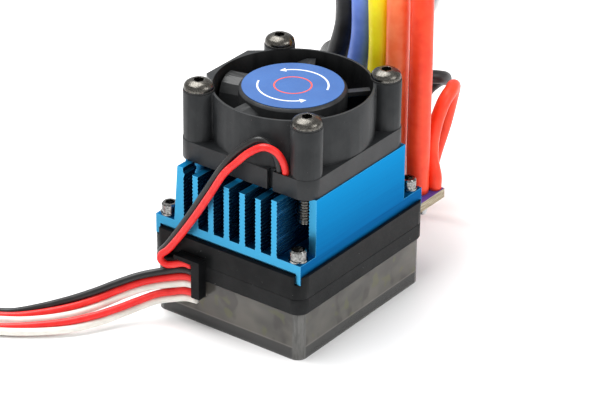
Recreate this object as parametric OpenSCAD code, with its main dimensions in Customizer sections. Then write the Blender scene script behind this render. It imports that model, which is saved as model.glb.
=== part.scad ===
// Electronic speed controller with a finned heatsink and a fan on top.
// Millimetres. The origin is the centre of the case's bottom face, +Z up.
// -Y is the signal-lead side, +Y the power-lead side, +X the plain heatsink plate.

/* [Case] */
// Width of the frame across X
frame_w = 28.4; // [28:0.1:29]
// Length of the frame along Y
frame_l = 32.4; // [32:0.1:33]
// Corner radius of the frame
frame_r = 2; // [1:0.1:2.5]
// How far the smoked lower case stands in from the frame
case_inset = 0.4; // [0.3:0.05:0.6]
// Wall thickness of the smoked lower case
case_wall = 1.2; // [1:0.1:1.4]
// Thickness of the lower case's floor
case_floor = 1.8; // [1:0.1:2]
// Height of the collar's lower edge
collar_z = 7.9; // [7.5:0.1:8.2]
// Height of the seam between collar and upper frame
seam_z = 10.6; // [10.4:0.1:10.8]
// Height of the upper frame's top edge
frame_z = 14.35; // [14.3:0.01:14.4]

/* [Heatsink] */
// Width of the heatsink base across X
sink_w = 27.3; // [27:0.1:27.4]
// Length of the heatsink base along Y
sink_l = 31.4; // [31:0.1:31.6]
// Height of the base's top face
sink_z = 16.3; // [16.2:0.05:16.4]
// Height of the cut-down fins above the base
fin_h = 8.75; // [8:0.05:9.2]
// Height of the full walls above the base, which carry the fan
wall_h = 9.45; // [9.4:0.05:9.6]
// Number of fins
fins = 6; // [4:1:6]
// Distance from fin to fin
fin_pitch = 2.95; // [2.9:0.01:3]
// Thickness of a fin over its ridges
fin_t = 1.1; // [0.9:0.05:1.2]
// Height step of the ridges on the fin sides
ridge_pitch = 0.6; // [0.5:0.05:0.8]

/* [Fan] */
// Side of the square fan
fan_w = 25; // [25:0.1:25.2]
// Height of the fan housing
fan_h = 11; // [10.8:0.1:11.2]
// Distance between fan screws
fan_holes = 20; // [19.8:0.1:20]
// Thickness of the fan's square flange
flange_t = 3.2; // [3:0.1:3.4]
// Bore of the fan housing
fan_bore = 24; // [23.8:0.1:24.1]
// Outer diameter of the rotor hub
hub_d = 16.4; // [16:0.1:16.6]
// Number of fan blades
blades = 5; // [5:1:7]

/* [Leads] */
// Diameter of the battery and motor leads
power_d = 3.6; // [3.4:0.1:3.7]
// Diameter of the capacitor leads
cap_d = 2.2; // [1.8:0.1:2.3]
// Diameter of the fan leads
fan_lead_d = 1.1; // [1:0.05:1.2]
// Distance from strand to strand in the flat leads
strand = 1.15; // [1.1:0.05:1.2]
// Direction of the power leads' arch, turned from straight back
lead_turn = 36.4; // [36:0.1:37]

/* [Switch] */
// Travel of the power switch
switch_travel = 2; // [1.5:0.1:2.2]

/* [Hidden] */

case_w = frame_w - 2 * case_inset;
case_l = frame_l - 2 * case_inset;
case_r = frame_r - case_inset;
neck_w = frame_w - 2;
neck_l = frame_l - 2;
frame_wall = 1.5;
leg_t = 0.8;
leg_z = 13.1;
sink_base_t = 1.4;
fin_x0 = -6;
plate_t = 1.35;
plate_y0 = -11.9;
plate_y1 = 10.9;
sink_screw_x = 12.1;
sink_screw_y = 14.2;
boss_r = 1.6;
fan_x = 1;
fan_y = -0.85;
fan_z = sink_z + wall_h;
fan_top = fan_z + fan_h;
post_r = (fan_w - fan_holes) / 2;
ring_r = fan_w / 2 - 0.1;
board_t = 1.6;
board_z = 13 - board_t;
board_top = board_z + board_t;
board_tail = 22.9;
lead_y = 19.5;
lead_x = [-9, -3.3, 1.3, 5.9, 10.3];
shaft_r = 0.75;
bearing_clear = 0.03;
socket_r = 2.5;
socket_bore_r = 2;
socket_l = 17.5;
plug_depth = 112;
plug_side = 21.5;
plug_z = 2.4;
plug_rise = 1.7;
gap = 0.02;
control_z = 4.6;
control_top = 5.6;
mosfet_top = 14;
washer_t = 0.3;
head_r = 2.3;
head_h = 1.32;
hub_h = 7.4;
shaft_seat = 6.9;
blade_start = 49;
slider_end = 7.4;

// ---------- shared shapes ----------

module rounded_plate(w, l, r) {
    square([w - 2 * r, l], center = true);
    square([w, l - 2 * r], center = true);
    for (x = [-1, 1], y = [-1, 1])
        translate([x * (w / 2 - r), y * (l / 2 - r)]) circle(r, $fn = 48);
}

module slab(w, l, r, z0, z1) {
    translate([0, 0, z0]) linear_extrude(z1 - z0) rounded_plate(w, l, r);
}

module block(x, y, z) {
    translate([x[0], y[0], z[0]]) cube([x[1] - x[0], y[1] - y[0], z[1] - z[0]]);
}

module tube_z(r_out, r_in, z0, z1) {
    translate([0, 0, z0]) difference() {
        cylinder(r = r_out, h = z1 - z0, $fn = 64);
        translate([0, 0, -1]) cylinder(r = r_in, h = z1 - z0 + 2, $fn = 64);
    }
}

module at_fan() { translate([fan_x, fan_y, 0]) children(); }

module at_fan_corners() {
    for (x = [-1, 1], y = [-1, 1])
        translate([fan_x + x * fan_holes / 2, fan_y + y * fan_holes / 2, 0]) children();
}

module at_sink_screws() {
    for (x = [-1, 1], y = [-1, 1])
        translate([x * sink_screw_x, y * sink_screw_y, 0]) children();
}

// A point given as side, depth and height in the frame turned along the power leads
function turned(p) = [
    cos(lead_turn) * p[0] - sin(lead_turn) * p[1],
    sin(lead_turn) * p[0] + cos(lead_turn) * p[1],
    p[2]
];
function turned_back(x, y) = [
    cos(lead_turn) * x + sin(lead_turn) * y,
    cos(lead_turn) * y - sin(lead_turn) * x
];

// A turned-frame route, measured from the foot of power lead i on the board
function from_foot(i, route) = [
    for (p = route)
        let (foot = turned_back(lead_x[i], lead_y))
        turned([foot[0] + p[0], foot[1] + p[1], board_top + p[2]])
];

function unit(v) = v / norm(v);
function along(path, i) = unit(path[min(i + 1, len(path) - 1)] - path[max(i - 1, 0)]);
function across(v, t) = unit(v - t * (v * t));

// One section of a swept cord: w wide along side, h thick across it
function section(p, side, t, w, h) = [
    for (k = [0:7])
        let (a = 22.5 + 45 * k)
        p + side * (w / 2 * cos(a) / cos(22.5)) + cross(t, side) * (h / 2 * sin(a) / cos(22.5))
];

module sweep(rings) {
    n = len(rings);
    polyhedron(
        points = [for (ring = rings) each ring],
        faces = [
            [for (k = [7:-1:0]) k],
            [for (k = [0:7]) 8 * (n - 1) + k],
            for (i = [0:n - 2], k = [0:7])
                let (j = (k + 1) % 8)
                each [[8 * i + k, 8 * i + j, 8 * i + 8 + j],
                      [8 * i + k, 8 * i + 8 + j, 8 * i + 8 + k]]
        ]
    );
}

// A round cord; its section is carried along the path without twist
module cord(path, d, start_side = [1, 0, 0]) {
    flat = d * cos(22.5);
    sweep([
        for (i = 0, t = along(path, 0), side = across(start_side, t);
             i < len(path);
             i = i + 1, t = along(path, min(i, len(path) - 1)), side = across(side, t))
            section(path[i], side, t, flat, flat)
    ]);
}

// A flat lead; the fourth number of each point is how far it has rolled over
// from standing on its edge
module ribbon(path, strands) {
    spots = [for (p = path) [p[0], p[1], p[2]]];
    sweep([
        for (i = [0:len(path) - 1])
            let (t = along(spots, i),
                 up = across([0, 0, 1], t),
                 side = up * cos(path[i][3]) + cross(up, t) * sin(path[i][3]))
            section(spots[i], side, t, strands * strand, strand)
    ]);
}

// ---------- case ----------

lead_pocket = [[-11, -4.4], [-16.3, -15.55], [5, 11.3]];

module lower_case() {
    color([0.35, 0.33, 0.31, 0.6]) difference() {
        union() {
            slab(case_w, case_l, case_r, 0, collar_z);
            slab(neck_w, neck_l, case_r - 0.6, collar_z - 1, seam_z - 0.2);
        }
        slab(case_w - 2 * case_wall, case_l - 2 * case_wall, case_r - 1, case_floor, seam_z + 1);
    }
}

module collar() {
    color([0.1, 0.1, 0.1]) difference() {
        slab(frame_w, frame_l, frame_r, collar_z, seam_z);
        slab(neck_w, neck_l, case_r - 0.6, collar_z - 1, seam_z + 1);
        block(lead_pocket[0], lead_pocket[1], [collar_z - 1, seam_z + 1]);
    }
}

module upper_frame() {
    color([0.08, 0.08, 0.08]) difference() {
        union() {
            difference() {
                slab(frame_w, frame_l, frame_r, seam_z, frame_z);
                slab(frame_w - 2 * frame_wall, frame_l - 2 * frame_wall, 1, seam_z - 1, frame_z + 1);
            }
            at_sink_screws() translate([0, 0, seam_z]) cylinder(r = boss_r, h = frame_z - seam_z, $fn = 48);
        }
        for (s = [-1, 1])
            translate([s * (sink_w / 2 - leg_t / 2), 0, (leg_z + frame_z) / 2 + 0.5])
                cube([leg_t + 0.1, frame_l + 1, frame_z - leg_z + 1.1], center = true);
        block([-9.6, 13.3], [14, 17], [board_z - 0.1, board_top + 0.1]);
        block(lead_pocket[0], lead_pocket[1], [seam_z - 1, lead_pocket[2][1]]);
        at_sink_screws() translate([0, 0, seam_z - 1]) cylinder(d = 1.64, h = 6, $fn = 32);
    }
}

module cable_hood() {
    color([0.07, 0.07, 0.07]) difference() {
        block([-8.6, -3.7], [-17.9, -frame_l / 2], [5.4, 11.8]);
        block([-9, -4.3], [-17.45, -16], [5, 11.3]);
        block([-9, -5.3], [-18, -17.4], [5, 11.1]);
    }
}

// ---------- heatsink ----------

// One side of a ridged wall as points from bottom to top
function ridges(x, dir, h) = [
    for (k = [0:floor(h / ridge_pitch * 2 - 1)])
        [x + dir * (k % 2 == 0 ? 0 : 0.14), sink_z + 0.35 + k * ridge_pitch / 2]
];
function reversed(list) = [for (i = [len(list) - 1:-1:0]) list[i]];

module fin_profile(x, h) {
    left = x - fin_t / 2;
    right = x + fin_t / 2;
    polygon(concat(
        [[left, sink_z - 0.5]], ridges(left, 1, h), [[left + 0.14, sink_z + h], [right - 0.14, sink_z + h]],
        reversed(ridges(right, -1, h)), [[right, sink_z - 0.5]]
    ));
}

module sink_profile() {
    half = sink_w / 2;
    translate([-half, sink_z - sink_base_t]) square([sink_w, sink_base_t]);
    for (i = [0:fins - 1])
        fin_profile(fin_x0 + i * fin_pitch, i == fins - 1 ? wall_h : fin_h);
    polygon(concat(
        [[-10.1, sink_z - 0.5], [-9.4, fan_z], [-8.3, fan_z], [-8.3, sink_z + fin_h],
         [-8, sink_z + fin_h - 0.3]],
        reversed(ridges(-8.3, 1, fin_h - 1)), [[-8.3, sink_z - 0.5]]
    ));
}

module along_y(y0, y1) {
    translate([0, y1, 0]) rotate([90, 0, 0]) linear_extrude(y1 - y0) children();
}

module heatsink() {
    half = sink_w / 2;
    color([0.05, 0.4, 0.75]) difference() {
        union() {
            along_y(-sink_l / 2, sink_l / 2) sink_profile();
            along_y(-sink_l / 2 + 0.5, sink_l / 2 - 0.5)
                translate([-half, frame_z]) square([sink_w, sink_z - frame_z - 1]);
            for (s = [-1, 1])
                block([s * (half - leg_t / 2) - leg_t / 2, s * (half - leg_t / 2) + leg_t / 2],
                      [-sink_l / 2, sink_l / 2], [leg_z, sink_z - 1]);
            along_y(plate_y0, plate_y1) polygon(concat(
                [[half, sink_z - 0.5], [half, fan_z], [half - plate_t + 0.14, fan_z]],
                reversed(ridges(half - plate_t, 1, wall_h)), [[half - plate_t, sink_z - 0.5]]
            ));
            for (y = [-1, 1])
                translate([fan_x - fan_holes / 2, fan_y + y * fan_holes / 2, sink_z - 0.5])
                    cylinder(d = 4.2, h = wall_h + 0.5, $fn = 48);
        }
        at_fan_corners() translate([0, 0, sink_z]) cylinder(d = 2.5, h = wall_h + 1, $fn = 48);
        at_sink_screws() translate([0, 0, frame_z - 1]) cylinder(d = 1.7, h = 4, $fn = 32);
        at_sink_screws() translate([0, 0, sink_z]) cylinder(d = 3.3, h = 2.6, $fn = 48);
    }
}

module thermal_pad() {
    color([0.75, 0.75, 0.78]) block([-10.5, 10.5], [-12, 12], [mosfet_top, frame_z]);
}

module hex_socket(z, across_flats, depth) {
    translate([0, 0, z - depth]) cylinder(d = across_flats / cos(30), h = depth + 1, $fn = 6);
}

module heatsink_screws() {
    color([0.2, 0.2, 0.2]) at_sink_screws() difference() {
        union() {
            translate([0, 0, 11.2]) cylinder(d = 1.6, h = sink_z - 11.2 + 0.5, $fn = 32);
            translate([0, 0, sink_z]) cylinder(d = 2.9, h = 0.3, $fn = 48);
            translate([0, 0, sink_z + 0.2]) cylinder(d = 2.6, h = 1.4, $fn = 48);
            translate([0, 0, sink_z + 1.6]) cylinder(d1 = 2.6, d2 = 2.1, h = 0.25, $fn = 48);
        }
        hex_socket(sink_z + 1.85, 1.45, 0.9);
    }
}

// ---------- fan ----------

// Outline of the flat pad on the ring's -X side
side_pad = [
    [-12.45, -5.1], [-10.3, -6.8], [-8, -6.8], [-8, 6.8], [-10.3, 6.8], [-12.45, 5.1]
];

module fan_housing() {
    color([0.16, 0.16, 0.17]) difference() {
        union() {
            at_fan() slab(fan_w, fan_w, post_r, fan_z, fan_z + flange_t);
            at_fan() translate([0, 0, fan_z + 1]) cylinder(r = ring_r, h = fan_h - 1, $fn = 96);
            at_fan_corners() translate([0, 0, fan_z + 1])
                cylinder(r = post_r - 0.1, h = fan_h - 1, $fn = 48);
            for (x = [-1, 1], y = [-1, 1])
                at_fan() translate([0, 0, fan_z + 1]) linear_extrude(fan_h - 1) polygon([
                    [x * 6.3, y * 8.7], [x * 8.7, y * 6.3], [x * 10.9, y * 8.5], [x * 8.5, y * 10.9]
                ]);
            at_fan() translate([0, 0, fan_z + 1]) linear_extrude(fan_h - 1) polygon(side_pad);
        }
        at_fan() translate([0, 0, fan_z - 1]) cylinder(d = fan_bore, h = fan_h + 2, $fn = 96);
        at_fan_corners() translate([0, 0, fan_z - 1]) cylinder(d = 2.6, h = fan_h + 2, $fn = 48);
        block([5.7, 6.7], [-14, -12.5], [fan_z - 1, fan_z + flange_t + 1]);
        block([6.95, 9.2], [-13.15, -12.05], [fan_z + 1, fan_z + flange_t + 1]);
    }
    color([0.16, 0.16, 0.17]) at_fan() {
        difference() {
            union() {
                translate([0, 0, fan_z]) cylinder(r = 7.6, h = 1.3, $fn = 64);
                translate([0, 0, fan_z + 1]) cylinder(r = 2.3, h = 7.2, $fn = 48);
                for (a = [45:90:315])
                    rotate([0, 0, a]) block([7, 12.2], [-0.8, 0.8], [fan_z + 0.1, fan_z + 1.2]);
            }
            translate([0, 0, fan_z + 1.6]) cylinder(r = 1.6, h = 8, $fn = 48);
            translate([0, 0, fan_z + 0.4]) cylinder(r = 1.5, h = 8, $fn = 48);
        }
    }
}

module fan_screws() {
    z = fan_top + washer_t;
    color([0.22, 0.21, 0.2]) at_fan_corners() difference() {
        union() {
            translate([0, 0, z - 16]) cylinder(d = 2.4, h = 16.3, $fn = 48);
            translate([0, 0, z]) rotate_extrude($fn = 64) polygon(concat(
                [[0, 0], [head_r, 0], [head_r, 0.25]],
                [for (a = [15:15:60]) [head_r * cos(a), 0.25 + 1.2 * sin(a)]],
                [[1, head_h], [0, head_h]]
            ));
        }
        hex_socket(z + head_h, 1.5, 0.9);
    }
}

module fan_screw_washers() {
    color([0.05, 0.05, 0.05]) at_fan_corners() tube_z(head_r + 0.05, 1.25, fan_top, fan_top + washer_t);
}

hub_top = fan_top - 0.35;
hub_bottom = hub_top - hub_h;

module fan_rotor() {
    r = hub_d / 2;
    color([0.2, 0.2, 0.21]) at_fan() difference() {
        union() {
            translate([0, 0, hub_bottom]) rotate_extrude($fn = 96)
                polygon([[0, 0], [r, 0], [r, hub_h - 0.4], [r - 0.4, hub_h], [0, hub_h]]);
            for (i = [0:blades - 1]) rotate([0, 0, blade_start + i * 360 / blades]) blade();
        }
        translate([0, 0, hub_bottom - 1]) cylinder(r = r - 0.9, h = hub_h, $fn = 96);
        translate([0, 0, hub_bottom]) cylinder(r = shaft_r, h = shaft_seat, $fn = 48);
    }
}

// A blade's section, leading edge first: flat on top, then turned down steeply
blade_section = [
    [-2.4, 9.9], [-1, 9.75], [0.4, 9.1], [1.4, 7.9], [2.1, 6.2], [2.5, 4.4], [2.6, 3.2],
    [2, 3.2], [1.85, 4.6], [1.45, 6.1], [0.8, 7.5], [-0.1, 8.4], [-1.2, 9], [-2.4, 9.2]
];

// A curved, pitched blade between the hub and the housing's bore
module blade() {
    intersection() {
        tube_z(fan_bore / 2 - 0.4, hub_d / 2 - 0.3, fan_z + 3, fan_top - 0.9);
        translate([hub_d / 2 - 2, 0, fan_z]) rotate([90, 0, 90])
            linear_extrude(fan_bore / 2) polygon(blade_section);
    }
}

module fan_label() {
    color([0.25, 0.5, 0.85]) at_fan()
        translate([0, 0, hub_top]) cylinder(d = hub_d - 1, h = 0.1, $fn = 96);
}

module magnet_ring() {
    color([0.3, 0.3, 0.3]) at_fan()
        tube_z(hub_d / 2 - 0.9, hub_d / 2 - 1.8, hub_bottom + 0.5, hub_bottom + 6);
}

module rotor_shaft() {
    color([0.8, 0.8, 0.82]) at_fan()
        translate([0, 0, fan_z + 1.35])
            cylinder(r = shaft_r, h = hub_bottom + shaft_seat - fan_z - 1.35, $fn = 48);
}

module shaft_clip() {
    color([0.9, 0.9, 0.85]) at_fan() tube_z(1.25, shaft_r, fan_z + 1.4, fan_z + 1.6 - bearing_clear);
}

module sleeve_bearing() {
    color([0.7, 0.5, 0.25]) at_fan() tube_z(1.6, shaft_r + bearing_clear, fan_z + 1.7, fan_z + 8);
}

module stator_core() {
    color([0.5, 0.5, 0.52]) at_fan() difference() {
        union() {
            translate([0, 0, fan_z + 4.2]) cylinder(r = 3.2, h = 2.4, $fn = 48);
            for (a = [0:90:270]) rotate([0, 0, a])
                block([2.5, 5.6], [-0.7, 0.7], [fan_z + 4.2, fan_z + 6.6]);
            intersection() {
                tube_z(6, 5, fan_z + 4.2, fan_z + 6.6);
                for (a = [0:90:270]) rotate([0, 0, a]) block([0, 7], [-3, 3], [fan_z + 4, fan_z + 7]);
            }
        }
        translate([0, 0, fan_z + 4]) cylinder(r = 2.3, h = 3, $fn = 48);
    }
}

module stator_coils() {
    color([0.75, 0.4, 0.15]) at_fan() for (a = [0:90:270]) rotate([0, 0, a]) difference() {
        block([3.3, 4.75], [-1.3, 1.3], [fan_z + 3.5, fan_z + 7.3]);
        block([3, 5.2], [-0.71, 0.71], [fan_z + 4.19, fan_z + 6.61]);
    }
}

module fan_board() {
    color([0.1, 0.35, 0.2]) at_fan() tube_z(6.6, 2.35, fan_z + 1.3, fan_z + 2.1);
}

// ---------- electronics ----------

module power_board() {
    color([0.3, 0.25, 0.6]) difference() {
        union() {
            block([-12, 12], [-14, 14.5], [board_z, board_top]);
            block([-9.5, 13.2], [14.2, 17.3], [board_z, board_top]);
            block([-11.2, 13.2], [17.2, board_tail], [board_z, board_top]);
        }
        for (x = lead_x) translate([x, lead_y, board_z - 1]) cylinder(d = 1.8, h = 4, $fn = 32);
        at_sink_screws() translate([0, 0, board_z - 1]) cylinder(r = boss_r + 0.2, h = 4, $fn = 48);
    }
}

module control_board() {
    color([0.3, 0.25, 0.6]) block([-11.5, 11.5], [-13.5, 13.5], [control_z, control_top]);
}

module mosfets() {
    color([0.12, 0.12, 0.12])
        for (x = [-7.5, 0, 7.5], y = [-8.7, -2.9, 2.9, 8.7])
            block([x - 2.5, x + 2.5], [y - 2, y + 2], [board_top, mosfet_top]);
}

module board_headers() {
    color([0.85, 0.7, 0.35]) for (x = [-8.9:2.54:8.9])
        block([x - 0.3, x + 0.3], [-12.6, -12], [control_top, board_z]);
}

module microcontroller() {
    color([0.15, 0.15, 0.15]) block([-8.5, -1.5], [-3.5, 3.5], [control_top, 6.9]);
}

module driver_chips() {
    color([0.15, 0.15, 0.15]) for (y = [-8, 0, 8]) block([1.5, 5.5], [y - 2.5, y + 2.5], [control_top, 7]);
}

module inductor() {
    color([0.3, 0.3, 0.32]) block([-9.5, -4.5], [6.5, 11.5], [control_top, 9.1]);
}

module board_capacitors() {
    color([0.75, 0.6, 0.3])
        for (y = [-9.5, -4, 1.5, 7]) block([7, 10.5], [y, y + 3.4], [control_top, 8]);
}

module solder_joints() {
    color([0.8, 0.8, 0.82]) {
        for (x = lead_x) translate([x, lead_y, board_z - 1]) cylinder(d1 = 0.9, d2 = 1.75, h = 1, $fn = 32);
        for (x = lead_x) translate([x, lead_y, board_z]) cylinder(d = 1.75, h = board_t, $fn = 32);
        translate([12.2, 18.4, board_z - 1.3]) cylinder(d1 = 1, d2 = 1.7, h = 1.3, $fn = 32);
    }
}

// ---------- power leads ----------
// Each route: side, depth and height from the lead's foot on the board.
// The leads rise side by side, bend over together and lie down behind the case.

black_route = [
    [0, 0, 0], [0, 0, 4], [0.5, 0, 9], [1.7, 0, 14], [3, 0, 18.5], [4.1, 0, 23], [4.4, 0.8, 26.7],
    [4.1, 3.1, 29], [3.8, 6.2, 29.8], [3.9, 9.3, 29], [4.2, 11.6, 26.7], [4.4, 12.4, 22], [4.3, 12.4, 15],
    [3.8, 12.2, 8], [3.9, 12.5, 1], [5.1, 13.9, -6.6], [7.7, 16.3, -10.1], [10.8, 19.6, -11.1],
    [13.6, 23.7, -11.1], [15.2, 28.9, -11.1], [15.6, 35.9, -11.1], [15.6, 43.9, -11.1], [15.6, 51.9, -11.1],
    [15.6, 59.9, -11.1], [15.8, 67.9, -11.1], [16.7, 75.9, -11.1], [18.6, 82.2, -11], [20.4, 86.5, -10.6],
    [20.4, 91, -10.6]
];
blue_route = [
    [0, 0, 0], [0, 0, 4], [0.2, 0, 9], [0.8, 0, 14], [1.5, 0, 18.5], [2.1, 0, 23], [2.1, 1.3, 28.1],
    [1.8, 4.8, 31.7], [1.6, 9.7, 33], [1.5, 14.5, 31.7], [1.4, 18.1, 28.1], [1.3, 19.4, 23],
    [-0.1, 19.5, 14], [-1.8, 19.5, 6.5], [-3.1, 19.6, 0.5], [-3.8, 20.7, -4.4], [-4.2, 23.2, -8],
    [-4.3, 27.3, -9.9], [-4.3, 31, -9.9]
];
yellow_route = [
    [0, 0, 0], [0, 0, 5], [0.2, 0, 10], [0.6, 0, 15], [1, 0, 19], [1.1, 0, 23], [0.9, 1.6, 29.7],
    [0.7, 6.1, 34.2], [0.5, 12.2, 35.8], [0.4, 18.3, 34.2], [0.5, 22.8, 29.7], [0.6, 24.4, 23],
    [-0.7, 24.4, 14], [-1.9, 24.4, 8.5], [-3.1, 24.9, 3.8], [-4.1, 26.6, -0.4], [-4.7, 29.4, -3.4],
    [-4.9, 32.4, -4.6], [-4.9, 35.9, -4.6]
];
orange_route = [
    [0, 0, 0], [0, 0, 8], [0, 0, 16], [0, 0, 23], [0, 2, 30.6], [0, 7.3, 36], [0, 14.7, 38], [0, 22, 36],
    [0, 27.4, 30.6], [0, 29.4, 23], [-0.9, 29.4, 14], [-2, 29.4, 6.5], [-3.2, 29.6, 0.5],
    [-4.5, 30.7, -4.5], [-5.4, 33.2, -8], [-5.6, 37.2, -9.9], [-5.6, 40.9, -9.9]
];
red_route = [
    [0, 0, 0], [0, 0, 8], [0, 0, 16], [0, 0, 23], [0, 2.3, 31.7], [0, 8.6, 38.1], [0, 17.3, 40.4],
    [0, 25.9, 38.1], [0, 32.3, 31.7], [0, 34.6, 23], [-1.2, 34.6, 14], [-2.6, 34.7, 5.5],
    [-3.5, 35.6, -1.6], [-3.9, 38, -7], [-4, 42, -10.4], [-4, 47.5, -11.1], [-4, 56, -11.1],
    [-4, 65, -11.1], [-4, 74, -11.1], [-3.8, 83, -11.1], [-2.9, 90.6, -11], [-1.6, 97, -10.6],
    [-1.6, 102.4, -10.6]
];

module power_lead(i, route) {
    cord(from_foot(i, route), power_d, turned([1, 0, 0]));
}

module battery_lead_neg() { color([0.06, 0.06, 0.06]) power_lead(0, black_route); }
module motor_lead_a() { color([0.2, 0.3, 0.75]) power_lead(1, blue_route); }
module motor_lead_b() { color([0.98, 0.85, 0.1]) power_lead(2, yellow_route); }
module motor_lead_c() { color([0.98, 0.4, 0.15]) power_lead(3, orange_route); }
module battery_lead_pos() { color([0.95, 0.2, 0.12]) power_lead(4, red_route); }

// Places a shape built along +Z at the end of a power lead, pointing onward
module at_lead_end(i, route) {
    translate(from_foot(i, route)[len(route) - 1])
        rotate([0, 0, lead_turn]) rotate([-90, 0, 0]) children();
}
module at_socket_ends() {
    at_lead_end(1, blue_route) children();
    at_lead_end(2, yellow_route) children();
    at_lead_end(3, orange_route) children();
}

module bullet_sockets() {
    color([0.9, 0.75, 0.3]) at_socket_ends() difference() {
        cylinder(r = socket_r, h = socket_l, $fn = 48);
        translate([0, 0, 2]) cylinder(r = socket_bore_r, h = socket_l, $fn = 48);
    }
}

module socket_sleeves() {
    lead_r = power_d / 2;
    color([0.07, 0.07, 0.07]) at_socket_ends() rotate_extrude($fn = 64) polygon([
        [lead_r + gap, -2.5], [lead_r + 0.5, -2.5], [socket_r + 0.5, 0.5],
        [socket_r + 0.5, socket_l + 0.4], [socket_r + gap, socket_l + 0.4],
        [socket_r + gap, -gap], [lead_r + gap, -gap]
    ]);
}

// The plug stands at the ends of both battery leads, across the turned frame
module at_plug() {
    translate(turned([plug_side, plug_depth, plug_z]))
        rotate([0, 0, lead_turn]) children();
}

module battery_plug() {
    color([0.75, 0.12, 0.1]) at_plug() difference() {
        translate([0, 3, plug_rise]) rotate([-90, 0, 0]) linear_extrude(10) rounded_plate(16, 8, 1.5);
        block([2.7, 3.7], [2, 14], [-1.6, 5]);
        block([-6.45, 0.05], [2, 14], [1.2, 2.2]);
    }
}

module battery_plug_blades() {
    color([0.9, 0.75, 0.3]) at_plug() {
        block([2.7, 3.7], [3, 20], [-1.6, 5]);
        block([2.7, 3.7], [0.05, 3], [-1.3, 1.3]);
        block([-6.45, 0.05], [3, 20], [1.2, 2.2]);
        block([-3.9, -2.5], [0.05, 3], [-1.2, 1.2]);
        block([-3.9, -2.5], [2.4, 3], [0, 2.2]);
    }
}

module battery_plug_sleeves() {
    color([0.07, 0.07, 0.07]) at_plug() for (x = [-3.2, 3.2])
        translate([x, -2.5, 0]) rotate([-90, 0, 0]) difference() {
            cylinder(r = power_d / 2 + 0.5, h = 4.8, $fn = 48);
            translate([0, 0, -1]) cylinder(r = power_d / 2 + 0.1, h = 8, $fn = 48);
        }
}

// ---------- capacitor ----------
// Routes in the turned frame, as side, depth and height above the table.

cap_side = 13;
cap_depth = 27;
cap_r = 4;
cap_pin_gap = 2.6;

cap_red_route = [
    [22.6, 10.6, 13], [22.6, 10.6, 15], [22.1, 11.7, 17.5], [22.1, 12.6, 20], [22.7, 13.3, 23.3],
    [23.8, 14.7, 26], [25, 17, 26.9], [25.6, 19.8, 26.3], [25.4, 22, 23.2], [24.6, 22.6, 18.6],
    [23.4, 23, 13.6], [22.5, 23.9, 9.4], [21.4, 25.1, 6.2], [19.8, 25.6, 4.6], [17.7, 25.7, 4],
    [15.5, 25.7, 4]
];
cap_black_route = [
    [15.6, 16.2, 13], [15.6, 16.2, 15], [15.6, 16.8, 18], [15.6, 18.6, 21.4], [16, 21, 24],
    [18, 22.2, 26.2], [20.6, 22.4, 26.6], [23.4, 23.6, 26], [24.5, 26, 24.6], [23.6, 28.6, 23],
    [21.8, 29.7, 20.6], [20.9, 29.9, 17], [20.9, 29.6, 12.5], [21.1, 29, 9], [20.8, 28.5, 6.4],
    [19.4, 28.3, 4.6], [17.5, 28.3, 4], [15.5, 28.3, 4]
];

module capacitor_lead_pos() {
    color([0.95, 0.25, 0.15]) cord([for (p = cap_red_route) turned(p)], cap_d, turned([0, 1, 0]));
}
module capacitor_lead_neg() {
    color([0.08, 0.08, 0.08]) cord([for (p = cap_black_route) turned(p)], cap_d, turned([1, 0, 0]));
}

// Shapes built along +Z point along the turned frame's negative side
module at_capacitor() {
    translate(turned([cap_side, cap_depth, cap_r]))
        rotate([0, 0, lead_turn]) rotate([0, -90, 0]) children();
}

module capacitor_can() {
    color([0.15, 0.2, 0.35]) at_capacitor() difference() {
        union() {
            cylinder(r = cap_r, h = 1.3, $fn = 64);
            translate([0, 0, 1.3]) cylinder(r = cap_r - 0.35, h = 0.8, $fn = 64);
            translate([0, 0, 2.1]) cylinder(r = cap_r, h = 11.9, $fn = 64);
        }
        translate([0, 0, -1]) cylinder(r = 3.3, h = 2.2, $fn = 64);
    }
}

module capacitor_bung() {
    color([0.1, 0.1, 0.1]) at_capacitor() cylinder(r = 3.25, h = 1.2, $fn = 48);
}

module capacitor_sleeves() {
    color([0.07, 0.07, 0.07]) at_capacitor() for (s = [-1, 1])
        translate([0, s * cap_pin_gap / 2, -4.6]) difference() {
            cylinder(r = cap_d / 2 + 0.18, h = 4.5, $fn = 32);
            translate([0, 0, -1]) cylinder(r = cap_d / 2 + 0.03, h = 3.2, $fn = 32);
        }
}

// ---------- signal leads ----------

fan_red_route = [
    [8.62, -12.6, 26.9], [8.62, -12.6, 28.6], [8.5, -13.2, 31], [7.7, -14, 32.8], [6.2, -14.8, 33.4],
    [4.1, -15.5, 32.2], [2.1, -16.1, 30.1], [0.2, -16.5, 27.9], [-2.3, -16.9, 23.6], [-5, -17.2, 19.1],
    [-8, -17.6, 14.5], [-9.7, -17.85, 12.2], [-10.9, -18, 11], [-11, -18, 10.2], [-10.1, -17.85, 9.6],
    [-8.8, -17.65, 9.9], [-7.6, -17.4, 10.4], [-6.6, -17.35, 10.65], [-5.5, -17.35, 10.65]
];
fan_black_route = [
    [7.5, -12.6, 26.9], [7.5, -12.6, 28.6], [7.1, -12.9, 31.2], [6.2, -13.5, 33.1], [4.8, -14.1, 33.9],
    [2.9, -14.8, 32.7], [0.9, -15.4, 30.6], [-0.8, -15.9, 28.2], [-3.4, -16.3, 23.8], [-6.1, -16.5, 19.3],
    [-9, -16.7, 14.7], [-10.6, -16.85, 12.3], [-11.8, -16.85, 10.8], [-12, -16.85, 10],
    [-11.2, -16.8, 9.45], [-9.8, -16.6, 9.8], [-8.4, -16.3, 10.3], [-7.2, -16.2, 10.6], [-5.5, -16.2, 10.6]
];

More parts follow.
